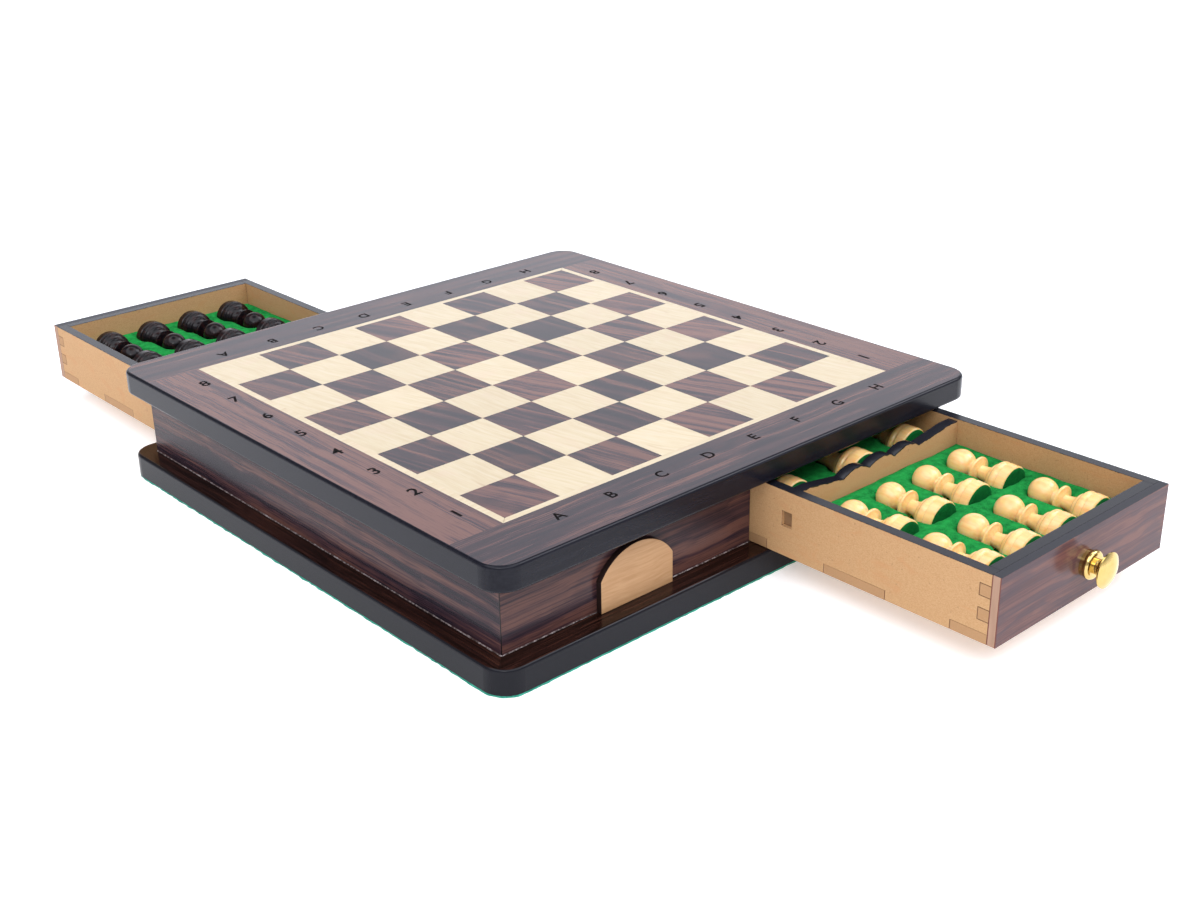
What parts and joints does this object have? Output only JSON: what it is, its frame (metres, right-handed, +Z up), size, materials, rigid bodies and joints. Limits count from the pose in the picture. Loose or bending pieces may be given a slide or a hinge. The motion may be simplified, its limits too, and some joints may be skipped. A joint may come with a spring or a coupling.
{
  "type": "chess set with board",
  "caption": "Inlaid chess board on a low wooden case, whose sliding drawers store turned chessmen in fitted felt trays.",
  "frame": {"origin": "centre of the underside of the case, on the surface that it stands on", "axes": "+X along the letters A to H, +Y along the numbers 1 to 8 away from the white player, +Z up; the white drawer opens towards -Y and the black one towards +Y"},
  "size_m": [0.305, 0.5832, 0.0592],
  "materials": {
    "stained_edge": "black stain, satin lacquer",
    "rosewood_square": "rosewood veneer, satin lacquer",
    "maple_square": "maple veneer, satin lacquer",
    "maple_line": "maple stringing, satin lacquer",
    "rosewood_border": "rosewood veneer, satin lacquer",
    "rosewood_border_side": "rosewood veneer, satin lacquer",
    "rosewood_case": "rosewood veneer, gloss lacquer",
    "rosewood_case_side": "rosewood veneer, gloss lacquer",
    "fibreboard": "bare fibreboard, black painted rim",
    "stained_base": "dark stain, gloss lacquer",
    "base_felt": "thin wool felt",
    "plate_wood": "bare light plywood",
    "green_velvet": "short pile velvet",
    "polished_brass": "polished",
    "screw_steel": "zinc plated",
    "boxwood": "waxed boxwood",
    "ebonised_wood": "polished ebonised wood"
  },
  "bodies": {
    "case": {"top_board": "stained_edge", "dark_squares": "rosewood_square", "light_squares": "maple_square", "stringing": "maple_line", "border_front": "rosewood_border", "border_rear": "rosewood_border", "border_left": "rosewood_border_side", "border_right": "rosewood_border_side", "front_panel": "rosewood_case", "rear_panel": "rosewood_case", "left_panel": "rosewood_case_side", "right_panel": "rosewood_case_side", "centre_partition": "fibreboard", "base_board": "stained_base", "base_felt": "base_felt", "blank_plate": "plate_wood"},
    "white_drawer": {"white_drawer_face": "rosewood_case", "white_drawer_inner_front": "fibreboard", "white_drawer_left_side": "fibreboard", "white_drawer_right_side": "fibreboard", "white_drawer_back": "fibreboard", "white_drawer_bottom": "fibreboard", "white_drawer_divider": "fibreboard", "white_pawn_tray": "green_velvet", "white_piece_tray": "green_velvet", "white_knob": "polished_brass", "white_knob_screw": "screw_steel", "white_pawns": "boxwood", "white_rooks": "boxwood", "white_knights": "boxwood", "white_bishops": "boxwood", "white_queen": "boxwood", "white_king": "boxwood", "white_base_felts": "green_velvet"},
    "black_drawer": {"black_drawer_face": "rosewood_case", "black_drawer_inner_front": "fibreboard", "black_drawer_left_side": "fibreboard", "black_drawer_right_side": "fibreboard", "black_drawer_back": "fibreboard", "black_drawer_bottom": "fibreboard", "black_drawer_divider": "fibreboard", "black_pawn_tray": "green_velvet", "black_piece_tray": "green_velvet", "black_knob": "polished_brass", "black_knob_screw": "screw_steel", "black_pawns": "ebonised_wood", "black_rooks": "ebonised_wood", "black_knights": "ebonised_wood", "black_bishops": "ebonised_wood", "black_queen": "ebonised_wood", "black_king": "ebonised_wood", "black_base_felts": "green_velvet"}
  },
  "joints": [
    {"name": "white_drawer_slide", "type": "slide", "parent": "case", "child": "white_drawer", "axis": [0, -1, 0], "range_m": [-0.133, 0.06]},
    {"name": "black_drawer_slide", "type": "slide", "parent": "case", "child": "black_drawer", "axis": [0, 1, 0], "range_m": [-0.139, 0.055]}
  ]
}
